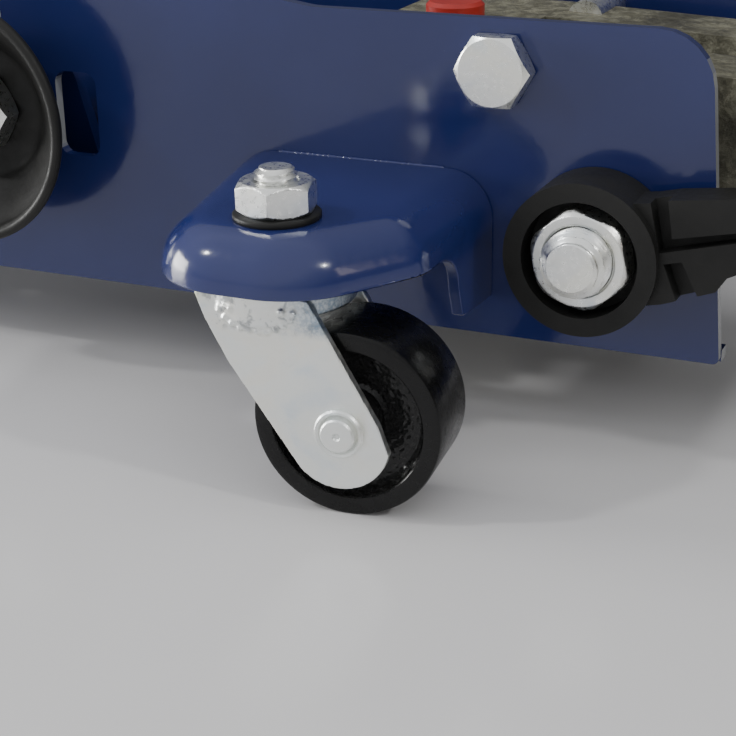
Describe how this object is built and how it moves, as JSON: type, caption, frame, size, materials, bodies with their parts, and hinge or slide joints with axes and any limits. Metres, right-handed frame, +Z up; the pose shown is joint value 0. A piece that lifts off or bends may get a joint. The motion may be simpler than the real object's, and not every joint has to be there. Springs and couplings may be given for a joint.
{
  "type": "hydraulic trolley jack",
  "caption": "Low hydraulic trolley jack: blue side plates on front wheels and swivel casters, a level-lifting arm with a round saddle, and a pump handle.",
  "frame": {"origin": "centre of the overall box on the floor", "axes": "+X towards the saddle end, +Y to the left side, +Z up"},
  "size_m": [0.881, 0.245, 0.3442],
  "materials": {
    "blue_paint": "glossy blue enamel",
    "zinc_plate": "bright zinc plating",
    "bright_steel": "ground and polished steel",
    "black_paint": "satin black paint",
    "black_iron": "glossy black paint over cast iron",
    "raw_casting": "rough olive-grey casting",
    "spring_steel": "oiled spring wire",
    "bronze": "sintered bronze",
    "black_rubber": "moulded black rubber",
    "red_plastic": "moulded red plastic"
  },
  "bodies": {
    "frame": {"left_side_plate": "blue_paint", "right_side_plate": "blue_paint", "front_cross_plate": "blue_paint", "tie_bolts": "zinc_plate", "rod_anchor_pins": "zinc_plate", "front_axle": "bright_steel", "axle_washers": "zinc_plate", "axle_circlips": "black_paint", "left_pivot_cup": "black_paint", "right_pivot_cup": "black_paint", "pivot_shaft": "bright_steel", "pivot_nuts": "zinc_plate", "left_caster_bracket": "blue_paint", "right_caster_bracket": "blue_paint", "caster_bolts": "zinc_plate", "caster_nuts": "zinc_plate", "caster_washers": "black_paint", "caster_races": "zinc_plate", "pump_block": "raw_casting", "reservoir": "blue_paint", "ram_cylinder": "bright_steel", "gland_ring": "black_rubber", "return_springs": "spring_steel", "spring_anchors": "zinc_plate", "plunger_gland": "bronze", "plunger_spring": "spring_steel", "check_balls": "bright_steel", "filler_plug": "red_plastic", "overload_cap": "zinc_plate", "yoke_bolts": "zinc_plate", "yoke_nuts": "zinc_plate"},
    "lift_arm": {"lift_arm": "blue_paint", "arm_bushes": "bronze", "arm_cross_pin": "zinc_plate"},
    "radius_rods": {"left_radius_rod": "blue_paint", "right_radius_rod": "blue_paint"},
    "saddle_bracket": {"saddle_bracket": "blue_paint", "saddle_pivot_pin": "zinc_plate", "rod_front_pin": "zinc_plate"},
    "saddle": {"saddle": "black_paint", "saddle_pad": "black_rubber"},
    "ram": {"ram": "bright_steel", "ram_head": "black_paint", "spring_bar": "zinc_plate"},
    "yoke": {"handle_yoke": "black_paint", "handle_lower_tube": "black_paint", "handle_upper_tube": "black_paint", "handle_grip": "black_rubber", "handle_clamp_screw": "zinc_plate"},
    "pump_roller": {"pump_roller": "bright_steel"},
    "plunger": {"pump_plunger": "bright_steel"},
    "release_valve": {"release_valve": "zinc_plate"},
    "left_front_wheel": {"left_front_wheel": "black_iron"},
    "right_front_wheel": {"right_front_wheel": "black_iron"},
    "left_caster": {"left_caster_fork": "zinc_plate", "left_caster_rivet": "zinc_plate"},
    "right_caster": {"right_caster_fork": "zinc_plate", "right_caster_rivet": "zinc_plate"},
    "left_caster_wheel": {"left_caster_wheel": "black_iron"},
    "right_caster_wheel": {"right_caster_wheel": "black_iron"}
  },
  "joints": [
    {"name": "lift_arm_pivot", "type": "hinge", "parent": "frame", "child": "lift_arm", "pos_m": [0.1355, 0, 0.0727], "axis": [0, -1, 0], "range_deg": [0, 60]},
    {"name": "radius_rod_pivot", "type": "hinge", "parent": "frame", "child": "radius_rods", "pos_m": [0.1355, 0, 0.0987], "axis": [0, -1, 0], "range_deg": [0, 60]},
    {"name": "saddle_bracket_pivot", "type": "hinge", "parent": "lift_arm", "child": "saddle_bracket", "pos_m": [0.37316, 0, 0.0393], "axis": [0, -1, 0], "range_deg": [-60, 0]},
    {"name": "saddle_swivel", "type": "hinge", "parent": "saddle_bracket", "child": "saddle", "pos_m": [0.37316, 0, 0.0993], "axis": [0, 0, 1], "continuous": true},
    {"name": "ram_stroke", "type": "slide", "parent": "frame", "child": "ram", "axis": [1, 0, 0], "range_m": [0, 0.0321], "deforming": ["return_springs"]},
    {"name": "handle_stroke", "type": "hinge", "parent": "frame", "child": "yoke", "pos_m": [-0.041, 0, 0.053], "axis": [0, 1, 0], "range_deg": [0, 45]},
    {"name": "pump_stroke", "type": "slide", "parent": "frame", "child": "plunger", "axis": [-1, 0, 0], "range_m": [0, 0.01847], "deforming": ["plunger_spring"]},
    {"name": "pump_roller_spin", "type": "hinge", "parent": "yoke", "child": "pump_roller", "pos_m": [-0.03182, 0, 0.03083], "axis": [0, 1, 0], "continuous": true},
    {"name": "release_valve_turn", "type": "hinge", "parent": "frame", "child": "release_valve", "pos_m": [-0.0905, 0.023, 0.08], "axis": [1, 0, 0], "range_deg": [0, 360]},
    {"name": "left_front_wheel_spin", "type": "hinge", "parent": "frame", "child": "left_front_wheel", "pos_m": [0.4105, 0.064, 0.03], "axis": [0, 1, 0], "continuous": true},
    {"name": "left_caster_swivel", "type": "hinge", "parent": "frame", "child": "left_caster", "pos_m": [0.0195, 0.1017, 0.05], "axis": [0, 0, 1], "continuous": true},
    {"name": "left_caster_wheel_spin", "type": "hinge", "parent": "left_caster", "child": "left_caster_wheel", "pos_m": [0.0003, 0.09968, 0.0228], "axis": [-0.1045, 0.9945, 0], "continuous": true},
    {"name": "right_front_wheel_spin", "type": "hinge", "parent": "frame", "child": "right_front_wheel", "pos_m": [0.4105, -0.064, 0.03], "axis": [0, 1, 0], "continuous": true},
    {"name": "right_caster_swivel", "type": "hinge", "parent": "frame", "child": "right_caster", "pos_m": [0.0195, -0.1017, 0.05], "axis": [0, 0, 1], "continuous": true},
    {"name": "right_caster_wheel_spin", "type": "hinge", "parent": "right_caster", "child": "right_caster_wheel", "pos_m": [0.0003, -0.09968, 0.0228], "axis": [0.1045, 0.9945, 0], "continuous": true}
  ],
  "couplings": [
    {"joint": "radius_rod_pivot", "follows": "lift_arm_pivot", "ratio": 1},
    {"joint": "saddle_bracket_pivot", "follows": "lift_arm_pivot", "ratio": -1},
    {"joint": "ram_stroke", "follows": "lift_arm_pivot", "m_per_rad": 0.030558},
    {"joint": "pump_stroke", "follows": "handle_stroke", "m_per_rad": 0.023388}
  ]
}
